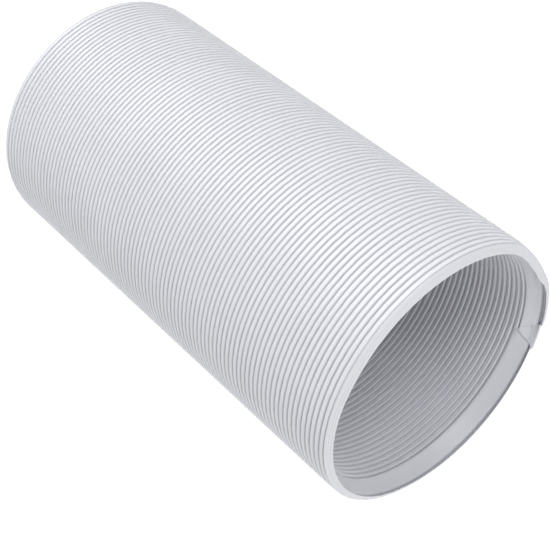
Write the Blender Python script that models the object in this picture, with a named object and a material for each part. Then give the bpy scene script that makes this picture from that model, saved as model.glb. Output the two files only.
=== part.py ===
"""Collapsible exhaust hose, pushed together and lying on its side.

One extruded plastic strip is wound into a left-handed helix, and each turn nests in the
next. The outside is a helical wave of one crest for each turn. At the mouth the last turn
shows whole: its lip turns in towards the axis, its rim climbs on its way round and stops at
the strip's cut end, and its smooth inner side narrows to the bore. Behind it the bore is a
helical wave too, in which one rib stands for two of the real ones. The other end is a flat
ring.

+X points out of the mouth along the hose, and +Z is up. The origin is on the floor, under
the middle of the hose.
"""

import math

import bmesh
import bpy

# Driving dimensions, in metres
OUTER_DIAMETER = 0.150
WALL_THICKNESS = 0.0070
LENGTH = 0.2855
TURN_PITCH = 0.0032
GROOVE_DEPTH = 0.0015
LIP_LENGTH = 0.0019
LIP_REACH = 0.0031
RIM_CLIMB = 0.0021
LEAD_IN_LENGTH = 0.0118
BORE_GROOVE_DEPTH = 0.0015
PLAIN_END_LENGTH = 0.0020

# Share of a turn's pitch from its front groove back to its crest
CREST_SHARE = 0.55

# Turns of the strip from one rib of the bore to the next
TURNS_PER_BORE_RIB = 2

# Flat sides around the hose, and the corner at which the strip is cut off, counted from
# the top of the hose towards +Y
SIDES = 24
STRIP_END_CORNER = 7

# White polypropylene with a faint cool tint
STRIP_COLOUR = (0.80, 0.80, 0.83, 1.0)
STRIP_ROUGHNESS = 0.45
SMOOTH_BELOW_ANGLE = math.radians(30.0)

# Worked out from the driving dimensions
CREST_RADIUS = OUTER_DIAMETER / 2
ROOT_RADIUS = CREST_RADIUS - GROOVE_DEPTH
LIP_RADIUS = ROOT_RADIUS - LIP_REACH
BORE_RADIUS = CREST_RADIUS - WALL_THICKNESS
BORE_GROOVE_RADIUS = BORE_RADIUS + BORE_GROOVE_DEPTH
BORE_PITCH = TURN_PITCH * TURNS_PER_BORE_RIB
SIDE_ANGLE = 2 * math.pi / SIDES
STRIP_END_ANGLE = (STRIP_END_CORNER - 0.5) * SIDE_ANGLE
CORNER_SCALE = 1 / math.cos(SIDE_ANGLE / 2)


def clear_scene():
    """Remove every object, so the script can be run again."""
    for item in list(bpy.data.objects):
        bpy.data.objects.remove(item)


def plastic():
    """The strip's satin white plastic."""
    material = bpy.data.materials.new("white_polypropylene")
    material.use_nodes = True
    shader = material.node_tree.nodes["Principled BSDF"]
    shader.inputs["Base Color"].default_value = STRIP_COLOUR
    shader.inputs["Roughness"].default_value = STRIP_ROUGHNESS
    shader.inputs["Metallic"].default_value = 0.0
    return material


def corner(step, depth, radius):
    """A corner of the hose. step counts sides back along the strip from its cut end,
    depth is measured from the mouth's foremost point, and radius reaches the middle of a
    flat side."""
    angle = STRIP_END_ANGLE - step * SIDE_ANGLE
    reach = radius * CORNER_SCALE
    return (LENGTH / 2 - depth, reach * math.sin(angle), reach * math.cos(angle))


def helix_row(bm, steps, depth, radius, first_climb=TURN_PITCH, climb=TURN_PITCH):
    """Corners that follow the strip from its cut end. Depth grows by first_climb in the
    first turn and by climb in each later one."""
    row = []
    for k in range(steps + 1):
        turns = k / SIDES
        grown = first_climb * min(turns, 1) + climb * max(turns - 1, 0)
        row.append(bm.verts.new(corner(k, depth + grown, radius)))
    return row


def flat_ring(bm, depth, radius):
    """Corners of one flat ring. The last one is the first again."""
    ring = [bm.verts.new(corner(k, depth, radius)) for k in range(SIDES)]
    return ring + ring[:1]


def steps_to(end_depth, start_depth, first_climb, climb):
    """Whole sides that a row can follow the strip before it passes a depth."""
    return int((1 + (end_depth - start_depth - first_climb) / climb) * SIDES)


def add_strip(bm, front, back):
    """A row of four-sided faces between two rows of corners of equal length."""
    for k in range(len(front) - 1):
        bm.faces.new((front[k], front[k + 1], back[k + 1], back[k]))


def add_strip_past(bm, front, back, extra):
    """The same, where a corner of the next turn lies on the first face's edge."""
    bm.faces.new((front[0], front[1], back[1], back[0], extra))
    add_strip(bm, front[1:], back[1:])


def add_wave(bm, front, back):
    """Faces from one row to the row behind it, and on to the first row's next turn."""
    add_strip(bm, front[: len(back)], back)
    add_strip(bm, back[: len(front) - SIDES], front[SIDES:])


def add_end_band(bm, crest, groove_end, ring):
    """The plain band from a crest's last turn to a flat ring, and the blind end of the last
    groove."""
    start = len(crest) - 1 - SIDES
    ring_from_start = [ring[(start + k) % SIDES] for k in range(SIDES + 1)]
    add_strip_past(bm, crest[start:], ring_from_start, crest[-1])
    bm.faces.new((crest[start], groove_end, crest[-1]))


def hose_mesh():
    """The whole hose wall as one closed mesh."""
    bm = bmesh.new()
    wave_end = LENGTH - PLAIN_END_LENGTH
    far_outer = flat_ring(bm, LENGTH, CREST_RADIUS)
    far_inner = flat_ring(bm, LENGTH, BORE_RADIUS)

    # Outside: the rim's shoulder runs into the first groove after one turn
    crest_depth = LIP_LENGTH + RIM_CLIMB - TURN_PITCH * (1 - CREST_SHARE)
    last = steps_to(wave_end, crest_depth, TURN_PITCH, TURN_PITCH)
    lip = helix_row(bm, SIDES, 0.0, LIP_RADIUS, RIM_CLIMB)
    root = helix_row(bm, last, LIP_LENGTH, ROOT_RADIUS, RIM_CLIMB)
    crest = helix_row(bm, last, crest_depth, CREST_RADIUS)
    add_wave(bm, root, crest)
    add_end_band(bm, crest, root[-1], far_outer)

    # Bore: the smooth side's deep edge runs into the first rib after one turn
    middle_depth = LEAD_IN_LENGTH + TURN_PITCH / 2
    middle_climb = (TURN_PITCH + BORE_PITCH) / 2
    last = steps_to(wave_end, LEAD_IN_LENGTH, TURN_PITCH, BORE_PITCH)
    rib = helix_row(bm, last, LEAD_IN_LENGTH, BORE_RADIUS, TURN_PITCH, BORE_PITCH)
    groove = helix_row(
        bm, last - SIDES, middle_depth, BORE_GROOVE_RADIUS, middle_climb, BORE_PITCH
    )
    add_wave(bm, rib, groove)
    add_end_band(bm, rib, groove[-1], far_inner)

    # The bore's groove starts blind behind the strip's cut end
    groove[0].co = corner(0, middle_depth, BORE_RADIUS)

    # Mouth: lip, smooth lead-in and the strip's cut end
    add_strip(bm, root[: SIDES + 1], lip)
    add_strip(bm, lip, rib[: SIDES + 1])
    cut_end = (root[0], crest[0], root[SIDES], lip[SIDES], rib[SIDES], groove[0], rib[0], lip[0])
    bm.faces.new(cut_end)

    # Flat far end
    add_strip(bm, far_outer, far_inner)

    bmesh.ops.recalc_face_normals(bm, faces=bm.faces)
    mesh = bpy.data.meshes.new("wound_strip")
    bm.to_mesh(mesh)
    bm.free()
    mesh.shade_smooth()
    mesh.set_sharp_from_angle(angle=SMOOTH_BELOW_ANGLE)
    return mesh


def build_hose():
    """Lay the hose on the floor, on the flat side under its axis."""
    mesh = hose_mesh()
    mesh.materials.append(plastic())
    hose = bpy.data.objects.new("wound_strip", mesh)
    hose.location.z = -min(vertex.co.z for vertex in mesh.vertices)
    bpy.context.scene.collection.objects.link(hose)
    return hose


clear_scene()
build_hose()
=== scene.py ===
"""Looks of a collapsible exhaust hose, pushed together and lying on its side.

The whole hose is one extruded strip of white polypropylene, wound left-handed, whose turns
nest in each other like stacked cups. It is one closed mesh. Two helical grids, one outside
and one inside, run back from the mouth one rib for each turn. At the mouth the last turn
shows whole: its lip turns in towards the axis, a channel lies behind the lip, and a smooth
band narrows to the bore. The strip's creased end lies flat over the lip below it, and its
cut face closes the step that one turn leaves. A flat face joins the grids at the far end.

A point on the hose is given by its turns along the strip from the cut end, its depth back
from the mouth's foremost point, and its radius from the hose's axis. Depths and radii are in
millimetres.
"""

import math

import bpy
import numpy as np
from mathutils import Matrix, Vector


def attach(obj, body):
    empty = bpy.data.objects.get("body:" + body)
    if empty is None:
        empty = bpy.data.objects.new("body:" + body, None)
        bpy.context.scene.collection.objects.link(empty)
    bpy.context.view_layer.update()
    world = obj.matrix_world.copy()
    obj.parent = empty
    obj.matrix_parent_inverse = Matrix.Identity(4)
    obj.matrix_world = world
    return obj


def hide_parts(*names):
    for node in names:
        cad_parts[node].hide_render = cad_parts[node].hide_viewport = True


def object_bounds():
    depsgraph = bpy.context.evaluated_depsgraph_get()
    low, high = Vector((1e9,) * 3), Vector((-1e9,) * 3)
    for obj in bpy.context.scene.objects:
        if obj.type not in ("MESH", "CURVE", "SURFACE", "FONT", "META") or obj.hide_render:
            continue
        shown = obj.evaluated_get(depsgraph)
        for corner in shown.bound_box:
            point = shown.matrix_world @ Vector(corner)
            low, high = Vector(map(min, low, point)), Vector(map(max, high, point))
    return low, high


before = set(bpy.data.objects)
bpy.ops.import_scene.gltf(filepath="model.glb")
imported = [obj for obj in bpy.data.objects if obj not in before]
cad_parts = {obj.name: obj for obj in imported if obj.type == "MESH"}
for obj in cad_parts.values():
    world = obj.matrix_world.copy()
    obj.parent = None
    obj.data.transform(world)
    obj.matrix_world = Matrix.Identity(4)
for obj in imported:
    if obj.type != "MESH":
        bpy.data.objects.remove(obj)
cad_low, cad_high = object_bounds()

MM = 0.001
DEGREES_IN_TURN = 360.0

# Taken from the CAD hose, in millimetres
MOUTH_X = cad_high.x / MM
LENGTH = (cad_high.x - cad_low.x) / MM
AXIS_HEIGHT = (cad_low.z + cad_high.z) / 2 / MM
CREST_RADIUS = (cad_high.z - cad_low.z) / 2 / MM

# Winding, as depths. The lip's free edge and the front of the smooth band climb by less than
# a pitch in the last turn.
TURN_PITCH = 3.203
BORE_PITCH = 3.22
FIRST_GROOVE = 2.43
LIP_CLIMB = 2.21
BAND_FRONT = 4.25
BAND_CLIMB = 0.50
DEEP_EDGE = 11.88

# The ribs run out over this depth into the far end's two edges
FAR_RUN_OUT = 1.2
FAR_OUTER_RADIUS = CREST_RADIUS - 0.4
FAR_INNER_RADIUS = 68.8

# The strip is cut across on a slant, and its end is creased. These are the angles from the
# top of the hose towards +Y, in degrees, at the lip and at the deep edge of the smooth band.
# The mesh's columns follow the slant, less and less, up to CUT_REACH degrees from the cut.
# The band's front lies at SLANT_AT_BAND of the way from the lip to the deep edge.
CUT_AT_LIP = 109.3
CUT_AT_DEEP_EDGE = 103.0
CREASE_AT_LIP = 96.0
CREASE_AT_DEEP_EDGE = 102.3
CREASE_WIDTH = 0.45
CUT_REACH = 36.0
SLANT_AT_BAND = 0.35

# Outer rib, from a groove back to the next one: share of the way, and radius. The groove
# behind the lip is shallower.
RIB_OUTSIDE = np.array(
    (
        (0.00, 70.90),
        (0.06, 72.30),
        (0.12, 74.10),
        (0.20, 74.85),
        (0.38, 75.00),
        (0.62, 74.97),
        (0.80, 74.80),
        (0.88, 74.10),
        (0.94, 72.50),
    )
)
FIRST_GROOVE_RADIUS = 72.6

# Inner rib, from a turn's deep edge back to the next one: share of the way, and radius. A
# slot comes first, a bead behind it, and then a shallow dip and a low ridge. On the last turn
# the smooth band's end rolls off into the slot.
RIB_INSIDE = np.array(
    (
        (0.00, 69.20),
        (0.07, 70.50),
        (0.15, 70.50),
        (0.21, 69.20),
        (0.28, 68.40),
        (0.38, 68.00),
        (0.52, 68.35),
        (0.68, 68.90),
        (0.84, 68.60),
    )
)
BAND_END_RADIUS = 68.95

# From so many turns on, and over so many, the last turn's radii go over into nested turns'
NESTING_FROM = 0.97
NESTING_TURNS = 0.08

# Outside of the lip, from the first groove to the free edge: share of the way, and radius.
# Two fine steps run around it.
LIP_OUTSIDE = np.array(
    (
        (0.06, 73.40),
        (0.12, 74.40),
        (0.19, 74.80),
        (0.27, 74.65),
        (0.35, 74.15),
        (0.45, 73.58),
        (0.53, 73.20),
        (0.55, 72.78),
        (0.58, 72.86),
        (0.66, 72.40),
        (0.745, 71.92),
        (0.765, 71.58),
        (0.80, 71.62),
        (0.90, 71.00),
        (0.97, 70.62),
        (1.00, 70.44),
    )
)

# Channel behind the lip, from the free edge to the smooth band: share of the way, and radius
CHANNEL = np.array(
    (
        (0.05, 70.22),
        (0.32, 71.40),
        (0.51, 72.50),
        (0.69, 73.45),
        (0.82, 73.95),
        (0.94, 73.95),
        (0.97, 73.00),
    )
)

# Smooth band, from its front to its deep edge: share of the way, and radius
SMOOTH_BAND = np.array(
    (
        (0.00, 72.00),
        (0.05, 71.60),
        (0.14, 71.20),
        (0.30, 70.65),
        (0.48, 69.92),
        (0.66, 69.20),
        (0.82, 68.50),
        (0.90, 68.32),
    )
)

# The creased end lies flat over the lip below it: depth and radius of its front edge, how
# many of the smooth band's rows it takes up, and how far its middle is pushed out from the
# axis at each column from the cut to the crease
FLAP_EDGE_DEPTH = 2.0
FLAP_EDGE_RADIUS = 71.6
FLAP_BAND_ROWS = 2
FLAP_DROPS = (-0.55, -0.30, 1.00)

# Dents in the soft mouth: angles where each starts, is full, stays full to, and ends, and how
# far it pushes the outer ribs and the lip's free edge inwards, or outwards where negative.
# They fade out over the depth DENT_REACH behind DENT_START.
DENTS = (
    (33.0, 55.0, 62.0, 75.0, 1.25, 2.30),
    (64.0, 76.0, 88.0, 100.0, 0.00, -0.70),
    (195.0, 215.0, 285.0, 305.0, 0.30, -0.65),
)
DENT_START = 3.0
DENT_REACH = 9.0

# Nested turns that show on the far end's flat ring: radius, and depth sunk into the ring
FAR_FACE = np.array(
    (
        (74.2, 0.0),
        (73.1, 0.0),
        (72.9, 0.9),
        (72.5, 0.9),
        (72.3, 0.0),
        (71.5, 0.0),
        (71.3, 0.9),
        (70.9, 0.9),
        (70.7, 0.0),
        (69.9, 0.0),
    )
)

# Columns of the mesh around one turn: those on the creased end, then even ones
EVEN_COLUMNS = 57
CREASED_COLUMNS = len(FLAP_DROPS)
COLUMNS = CREASED_COLUMNS + EVEN_COLUMNS

# Rows of the mesh across the mouth: those of the lip, and those of the lip and the channel
LIP_ROWS = len(LIP_OUTSIDE)
HOOK_ROWS = LIP_ROWS + len(CHANNEL)

# Turns by which a winding is made too long, before it is cut off at the far end
SPARE_TURNS = 3

# Edges sharper than this are shaded as edges
SMOOTH_BELOW_ANGLE = math.radians(50.0)

# White polypropylene. Two tints cloud into each other. Fine lines along the strip change its
# roughness and lie in slight relief. LINE_SCALE is how many there are along a turn and how
# many in a millimetre of depth, and the height is in metres.
REFRACTIVE_INDEX = 1.49
DEEP_TINT = (0.720, 0.727, 0.765, 1.0)
PALE_TINT = (0.740, 0.747, 0.785, 1.0)
TINT_POSITIONS = (0.3, 0.7)
CLOUDS_PER_METRE = 28.0
CLOUD_DETAIL = 3.0
LINE_SCALE = (6.0, 9.0, 1.0)
LINE_DETAIL = 4.0
SMOOTHEST, ROUGHEST = 0.36, 0.50
LINE_STRENGTH = 0.25
LINE_HEIGHT = 0.00005

# White floor, from its middle to its edge in metres
FLOOR_REACH = 40.0
FLOOR_GREY = (0.12, 0.12, 0.12, 1.0)
FLOOR_ROUGHNESS = 0.9
FLOOR_GLOW = 0.94
WHITE = (1.0, 1.0, 1.0, 1.0)

# Square softboxes turned towards the hose: place and side in metres, and power in watts
SOFTBOXES = {
    "top_softbox": ((-0.65, -0.28, 1.35), 1.2, 17.3),
    "front_softbox": ((0.56, -0.10, 1.1), 0.4, 3.9),
    "mouth_softbox": ((1.0, -0.20, 0.65), 0.5, 2.6),
}
LIT_POINT = (0.0, 0.0, 0.075)
SURROUNDINGS_STRENGTH = 0.24

# The photograph's camera. Its azimuth is 0 when it looks along +Y.
CAMERA_AZIMUTH = 50.756
CAMERA_ELEVATION = 41.713
CAMERA_DISTANCE = 0.70476
CAMERA_TARGET = (0.01268, 0.0, 0.05576)
CAMERA_LENS = 83.73
CAMERA_CLIP_START = 0.01
SENSOR_WIDTH = 36.0


def smoothstep(value):
    """0 below 0, 1 above 1, and 3v² − 2v³ between."""
    v = np.clip(value, 0.0, 1.0)
    return v * v * (3 - 2 * v)


def on_hose(turns, depth, radius):
    """Points in metres. The angle from the top towards +Y falls by one full circle with each
    turn, x falls with depth, and y and z are the radius times the angle's sine and cosine."""
    angle = math.radians(CUT_AT_DEEP_EDGE) - 2 * math.pi * turns
    x = MOUTH_X - depth
    y = radius * np.sin(angle)
    z = AXIS_HEIGHT + radius * np.cos(angle)
    return np.stack(np.broadcast_arrays(x, y, z), axis=-1).reshape(-1, 3) * MM


def column_turns(share):
    """Turns at which one turn's columns lie, with the next turn's first column as the last.
    share is 0 at the lip and 1 at the deep edge. The first column is the cut, the last of the
    creased ones and the next are the two sides of the crease, and even ones follow, shifted
    by less and less over CUT_REACH from either side."""
    share = np.asarray(share)[..., None]
    cut = (CUT_AT_DEEP_EDGE - CUT_AT_LIP) * (1 - share)
    crease = (CUT_AT_DEEP_EDGE - CREASE_AT_LIP) * (1 - share)
    crease = crease + (CUT_AT_DEEP_EDGE - CREASE_AT_DEEP_EDGE) * share
    even = np.linspace(0.0, DEGREES_IN_TURN, EVEN_COLUMNS + 1)[1:]
    fade_in = np.clip(1 - even / CUT_REACH, 0, 1)
    fade_out = np.clip(1 - (DEGREES_IN_TURN - even) / CUT_REACH, 0, 1)
    moved = even + crease * fade_in + cut * fade_out
    first = cut + (crease - cut) * np.linspace(0.0, 1.0, CREASED_COLUMNS)
    return np.concatenate((first, crease + CREASE_WIDTH, moved), axis=-1) / DEGREES_IN_TURN


def helix_turns(share, count):
    """Turns of the first count columns along the strip, all at one share."""
    one_turn = column_turns(share)[:-1]
    column = np.arange(count)
    return one_turn[column % COLUMNS] + column // COLUMNS


def dent(turns, depth):
    """How far the dents push the ribs and the lip's free edge inwards at so many turns. Each
    dent rises and falls smoothly with the angle, and fades out with depth."""
    angle = (CUT_AT_DEEP_EDGE - DEGREES_IN_TURN * turns) % DEGREES_IN_TURN
    fade = 1 - smoothstep((depth - DENT_START) / DENT_REACH)
    ribs, edge = 0.0, 0.0
    for start, full, full_to, end, at_ribs, at_edge in DENTS:
        rise = smoothstep((angle - start) / (full - start))
        fall = 1 - smoothstep((angle - full_to) / (end - full_to))
        ribs = ribs + at_ribs * rise * fall * fade
        edge = edge + at_edge * rise * fall * fade
    return ribs, edge


def outer_groove(turns):
    """Depth of the groove in front of a turn's outer rib, an even helix that stops at the far
    end."""
    return np.minimum(FIRST_GROOVE + TURN_PITCH * turns, LENGTH)


def deep_edge(turns):
    """Depth of a turn's deep edge inside, an even helix that stops at the far end."""
    return np.minimum(DEEP_EDGE + BORE_PITCH * turns, LENGTH)


def wound_ribs(edge, share, profile, last_turn, far_radius):
    """A rib's profile carried along the strip, and the ring on which it ends. Between one
    edge and the next, depth is edge + width · profile share. Radii go over from those of the
    last turn to those of nested turns at the cut, and to the far ring's near the far end.
    Returns turns, depth and radius of the grid, one row for each column, and of the ring."""
    enough = int((LENGTH / TURN_PITCH + SPARE_TURNS) * COLUMNS)
    turns = helix_turns(share, enough)
    since_cut = turns - turns[0]
    count = int(np.argmax(edge(since_cut) >= LENGTH))
    front = edge(since_cut[:count])[:, None]
    width = edge(since_cut[:count] + 1)[:, None] - front
    depth = front + width * profile[:, 0]
    nested = smoothstep((since_cut[:count, None] - NESTING_FROM) / NESTING_TURNS)
    radius = last_turn + (profile[:, 1] - last_turn) * nested
    near_end = smoothstep(1 - (LENGTH - depth) / FAR_RUN_OUT)
    radius = radius + (far_radius - radius) * near_end
    grid = (np.broadcast_to(turns[:count, None], depth.shape), depth, radius)
    ring_turns = turns[count : count + COLUMNS]
    ring = (ring_turns, np.full(COLUMNS, LENGTH), np.full(COLUMNS, far_radius))
    return grid, ring


def outer_ribs():
    """The outer grid, dented at the mouth, and its ring."""
    last_turn = RIB_OUTSIDE[:, 1].copy()
    last_turn[0] = FIRST_GROOVE_RADIUS
    (turns, depth, radius), ring = wound_ribs(
        outer_groove, 0.0, RIB_OUTSIDE, last_turn, FAR_OUTER_RADIUS
    )
    return (turns, depth, radius - dent(turns, depth)[0]), ring


def bore_ribs():
    """The inner grid and its ring. The smooth band's end stands where the first rib starts."""
    last_turn = RIB_INSIDE[:, 1].copy()
    last_turn[0] = BAND_END_RADIUS
    return wound_ribs(deep_edge, 1.0, RIB_INSIDE, last_turn, FAR_INNER_RADIUS)


def wound_index(first, count, points):
    """Vertex numbers of such a grid, one row for each column and one more for the point
    where it ends on the ring. The last number in a row is the next turn's first one."""
    column = np.arange(count + 1 + COLUMNS)
    ring = first + count * points + (column - count) % COLUMNS
    index = first + column[:, None] * points + np.arange(points)
    index = np.where(column[:, None] < count, index, ring[:, None])
    return np.concatenate((index[: count + 1], index[COLUMNS:, :1]), axis=1)


def sheet_faces(index):
    """Four-sided faces of a grid of vertex numbers."""
    corners = (index[:-1, :-1], index[1:, :-1], index[1:, 1:], index[:-1, 1:])
    return np.stack(corners, axis=-1).reshape(-1, 4)


def end_faces(index):
    """Three-sided faces between a winding's last full column and the point it ends in."""
    last = index[-2]
    tip = np.full(len(last) - 1, index[-1, 0])
    return np.stack((last[:-1], tip, last[1:]), axis=-1)


def dent_mouth(turns, radius):
    """Push the lip inwards by the ribs' dent at the groove and by the free edge's dent at the
    free edge, evenly between, and the channel by less and less from the free edge on."""
    at_ribs, at_edge = dent(turns[:, :HOOK_ROWS], np.zeros(1))
    out = LIP_OUTSIDE[:, 0]
    radius[:, :LIP_ROWS] -= at_ribs[:, :LIP_ROWS] * (1 - out) + at_edge[:, :LIP_ROWS] * out
    back = np.linspace(0.0, 1.0, len(CHANNEL))
    radius[:, LIP_ROWS:HOOK_ROWS] -= at_edge[:, LIP_ROWS:] * (1 - back)


def lay_creased_end(groove, slant, depth, radius):
    """Lay the creased end flat from the groove to its own front edge, and on from there to the
    smooth band, and push its middle out by a half sine wave of the slant."""
    flap = slice(0, CREASED_COLUMNS)
    out = np.linspace(0.0, 1.0, LIP_ROWS + 1)[1:]
    drop = FLAP_EDGE_RADIUS - FIRST_GROOVE_RADIUS
    depth[flap, :LIP_ROWS] = groove[flap] + (FLAP_EDGE_DEPTH - groove[flap]) * out
    radius[flap, :LIP_ROWS] = FIRST_GROOVE_RADIUS + drop * out

    end = HOOK_ROWS + FLAP_BAND_ROWS
    back = np.linspace(0.0, 1.0, end - LIP_ROWS + 2)[1:-1]
    reach = depth[flap, end : end + 1] - FLAP_EDGE_DEPTH
    drop = SMOOTH_BAND[FLAP_BAND_ROWS, 1] - FLAP_EDGE_RADIUS
    depth[flap, LIP_ROWS:end] = FLAP_EDGE_DEPTH + reach * back
    radius[flap, LIP_ROWS:end] = FLAP_EDGE_RADIUS + drop * back
    radius[flap] += np.array(FLAP_DROPS)[:, None] * np.sin(np.pi * slant)


def mouth_points():
    """Lip, channel and smooth band, carried around the last turn as three stretches: from the
    first groove to the free edge, on to the band's front, and on to the deep edge. Within
    each, depth goes evenly with the share. slant is the share of the way from the lip to the
    deep edge."""
    slant = np.concatenate(
        (
            np.zeros(len(LIP_OUTSIDE)),
            SLANT_AT_BAND * CHANNEL[:, 0],
            SLANT_AT_BAND + (1 - SLANT_AT_BAND) * SMOOTH_BAND[:, 0],
        )
    )
    turns = column_turns(slant).T
    u = (turns - turns[0])[:, :1]
    u[-1] = 1.0
    groove = FIRST_GROOVE + TURN_PITCH * u
    lip = LIP_CLIMB * u
    band = BAND_FRONT + BAND_CLIMB * u
    deep = DEEP_EDGE + BORE_PITCH * u
    depth = np.concatenate(
        (
            groove + (lip - groove) * LIP_OUTSIDE[:, 0],
            lip + (band - lip) * CHANNEL[:, 0],
            band + (deep - band) * SMOOTH_BAND[:, 0],
        ),
        axis=1,
    )
    radius = np.concatenate((LIP_OUTSIDE[:, 1], CHANNEL[:, 1], SMOOTH_BAND[:, 1]))
    radius = np.broadcast_to(radius, depth.shape).copy()
    dent_mouth(turns, radius)
    lay_creased_end(groove, slant, depth, radius)
    return turns, depth, radius


def far_face_points():
    """Rings of the far end's face, from the outer edge inwards."""
    share = np.linspace(0.0, 1.0, len(FAR_FACE))
    turns = column_turns(share)[:, :-1].T
    depth = np.broadcast_to(LENGTH - FAR_FACE[:, 1], turns.shape)
    radius = np.broadcast_to(FAR_FACE[:, 0], turns.shape)
    return turns, depth, radius


def map_strip(mesh, parts):
    """Add the UV map of a mesh whose vertices are those of the parts: turns along the strip,
    and depth."""
    turns = np.concatenate([np.broadcast_to(part[0], part[1].shape).ravel() for part in parts])
    depth = np.concatenate([part[1].ravel() for part in parts])
    corner_vertex = np.empty(len(mesh.loops), dtype=np.int32)
    mesh.loops.foreach_get("vertex_index", corner_vertex)
    strip_map = mesh.uv_layers.new(name="strip")
    uv = np.stack((turns[corner_vertex], depth[corner_vertex]), axis=-1)
    strip_map.data.foreach_set("uv", uv.astype(np.float32).ravel())


def hose_mesh():
    """The whole strip as one closed mesh: the outer and inner windings, the mouth between
    them, the far face, and the cut face in three pieces."""
    outer, outer_ring = outer_ribs()
    inner, inner_ring = bore_ribs()
    mouth = mouth_points()
    far = far_face_points()
    parts = (outer, outer_ring, inner, inner_ring, mouth, far)
    starts = np.cumsum([0] + [part[0].size for part in parts])
    points = np.concatenate([on_hose(*part) for part in parts])

    outside = wound_index(starts[0], len(outer[0]), len(RIB_OUTSIDE))
    inside = wound_index(starts[2], len(inner[0]), len(RIB_INSIDE))
    last_turn = starts[4] + np.arange(mouth[0].size).reshape(mouth[0].shape)
    mouth_index = np.concatenate(
        (outside[: COLUMNS + 1, :1], last_turn, inside[: COLUMNS + 1, :1]), axis=1
    )

    column = np.arange(COLUMNS)
    far_index = np.concatenate(
        (
            (starts[1] + (column - len(outer[0])) % COLUMNS)[:, None],
            starts[5] + np.arange(far[0].size).reshape(far[0].shape),
            (starts[3] + (column - len(inner[0])) % COLUMNS)[:, None],
        ),
        axis=1,
    )
    far_index = np.concatenate((far_index, far_index[:1]))

    first, last = mouth_index[0], mouth_index[COLUMNS]
    step = np.stack((first[1:-1], last[1:-1]))
    faces = [
        *sheet_faces(outside[:-1])[:, ::-1].tolist(),
        *end_faces(outside)[:, ::-1].tolist(),
        *sheet_faces(inside[:-1]).tolist(),
        *end_faces(inside).tolist(),
        *sheet_faces(mouth_index).tolist(),
        *sheet_faces(far_index)[:, ::-1].tolist(),
        *sheet_faces(step)[:, ::-1].tolist(),
        [first[1], last[1], *outside[0, ::-1].tolist()],
        [last[-2], first[-2], *inside[0].tolist()],
    ]
    mesh = bpy.data.meshes.new("wound_strip_surface")
    mesh.from_pydata(points, [], faces)
    map_strip(mesh, parts)
    mesh.validate(verbose=True)
    mesh.shade_smooth()
    mesh.set_sharp_from_angle(angle=SMOOTH_BELOW_ANGLE)
    return mesh


def white_polypropylene():
    """Satin white plastic with a faint cool tint and fine lines along the strip."""
    material = bpy.data.materials.new("white_polypropylene")
    material.use_nodes = True
    nodes, links = material.node_tree.nodes, material.node_tree.links
    shader = nodes["Principled BSDF"]
    shader.inputs["Metallic"].default_value = 0.0
    shader.inputs["IOR"].default_value = REFRACTIVE_INDEX

    place = nodes.new("ShaderNodeTexCoord")
    cloud = nodes.new("ShaderNodeTexNoise")
    cloud.inputs["Scale"].default_value = CLOUDS_PER_METRE
    cloud.inputs["Detail"].default_value = CLOUD_DETAIL
    links.new(place.outputs["Object"], cloud.inputs["Vector"])
    tint = nodes.new("ShaderNodeValToRGB")
    stops = zip(tint.color_ramp.elements, TINT_POSITIONS, (DEEP_TINT, PALE_TINT))
    for stop, position, colour in stops:
        stop.position = position
        stop.color = colour
    links.new(cloud.outputs["Fac"], tint.inputs["Fac"])
    links.new(tint.outputs["Color"], shader.inputs["Base Color"])

    strip = nodes.new("ShaderNodeUVMap")
    strip.uv_map = "strip"
    stretch = nodes.new("ShaderNodeMapping")
    stretch.inputs["Scale"].default_value = LINE_SCALE
    links.new(strip.outputs["UV"], stretch.inputs["Vector"])
    lines = nodes.new("ShaderNodeTexNoise")
    lines.inputs["Scale"].default_value = 1.0
    lines.inputs["Detail"].default_value = LINE_DETAIL
    links.new(stretch.outputs["Vector"], lines.inputs["Vector"])
    gloss = nodes.new("ShaderNodeMapRange")
    gloss.inputs["To Min"].default_value = SMOOTHEST
    gloss.inputs["To Max"].default_value = ROUGHEST
    links.new(lines.outputs["Fac"], gloss.inputs["Value"])
    links.new(gloss.outputs["Result"], shader.inputs["Roughness"])
    relief = nodes.new("ShaderNodeBump")
    relief.inputs["Strength"].default_value = LINE_STRENGTH
    relief.inputs["Distance"].default_value = LINE_HEIGHT
    links.new(lines.outputs["Fac"], relief.inputs["Height"])
    links.new(relief.outputs["Normal"], shader.inputs["Normal"])
    return material


def build_hose():
    """The wound strip in the frame's place, standing for the CAD node."""
    mesh = hose_mesh()
    mesh.materials.append(white_polypropylene())
    hose = bpy.data.objects.new("wound_strip_surface", mesh)
    bpy.context.scene.collection.objects.link(hose)
    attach(hose, "root")
    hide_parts("wound_strip")
    return hose


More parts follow.
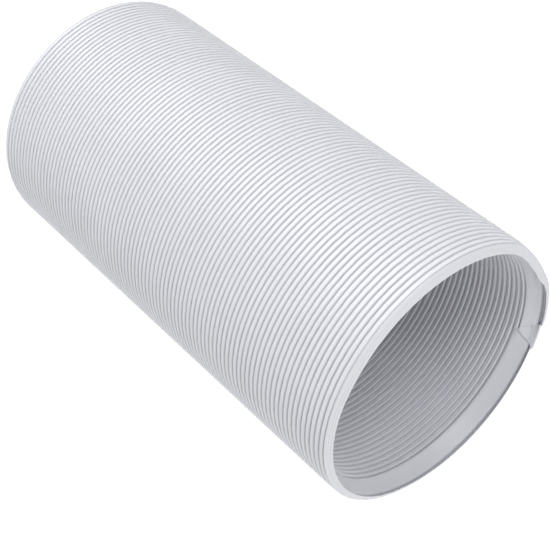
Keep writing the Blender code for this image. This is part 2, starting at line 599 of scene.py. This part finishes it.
def build_floor():
    """A plain white floor that glows a little, like a light table."""
    reach = FLOOR_REACH
    mesh = bpy.data.meshes.new("floor")
    corners = ((-reach, -reach, 0), (reach, -reach, 0), (reach, reach, 0), (-reach, reach, 0))
    mesh.from_pydata(corners, [], [(0, 1, 2, 3)])
    material = bpy.data.materials.new("floor_white")
    material.use_nodes = True
    shader = material.node_tree.nodes["Principled BSDF"]
    shader.inputs["Base Color"].default_value = FLOOR_GREY
    shader.inputs["Roughness"].default_value = FLOOR_ROUGHNESS
    shader.inputs["Emission Color"].default_value = WHITE
    shader.inputs["Emission Strength"].default_value = FLOOR_GLOW
    mesh.materials.append(material)
    floor = bpy.data.objects.new("floor", mesh)
    bpy.context.scene.collection.objects.link(floor)
    return floor


def add_softbox(name, place, side, power):
    """A square area light at place, turned towards the hose."""
    light = bpy.data.lights.new(name, "AREA")
    light.shape = "SQUARE"
    light.size = side
    light.energy = power
    lamp = bpy.data.objects.new(name, light)
    lamp.location = place
    way = Vector(LIT_POINT) - Vector(place)
    lamp.rotation_euler = way.to_track_quat("-Z", "Y").to_euler()
    bpy.context.scene.collection.objects.link(lamp)
    return lamp


def light_scene():
    """White surroundings, a large softbox above, and two in front that shine on the mouth and
    into it."""
    world = bpy.data.worlds.new("studio")
    world.use_nodes = True
    background = world.node_tree.nodes["Background"]
    background.inputs["Color"].default_value = WHITE
    background.inputs["Strength"].default_value = SURROUNDINGS_STRENGTH
    bpy.context.scene.world = world
    for name, (place, side, power) in SOFTBOXES.items():
        add_softbox(name, place, side, power)
    bpy.context.scene.view_settings.view_transform = "Standard"


def place_camera():
    """Look at the target from azimuth, elevation and distance, without roll."""
    azimuth = math.radians(CAMERA_AZIMUTH)
    elevation = math.radians(CAMERA_ELEVATION)
    back = Vector(
        (
            math.sin(azimuth) * math.cos(elevation),
            -math.cos(azimuth) * math.cos(elevation),
            math.sin(elevation),
        )
    )
    data = bpy.data.cameras.new("camera")
    data.lens = CAMERA_LENS
    data.sensor_width = SENSOR_WIDTH
    data.clip_start = CAMERA_CLIP_START
    camera = bpy.data.objects.new("camera", data)
    camera.location = Vector(CAMERA_TARGET) + back * CAMERA_DISTANCE
    camera.rotation_euler = (-back).to_track_quat("-Z", "Y").to_euler()
    bpy.context.scene.collection.objects.link(camera)
    bpy.context.scene.camera = camera


build_hose()
build_floor()
light_scene()
place_camera()
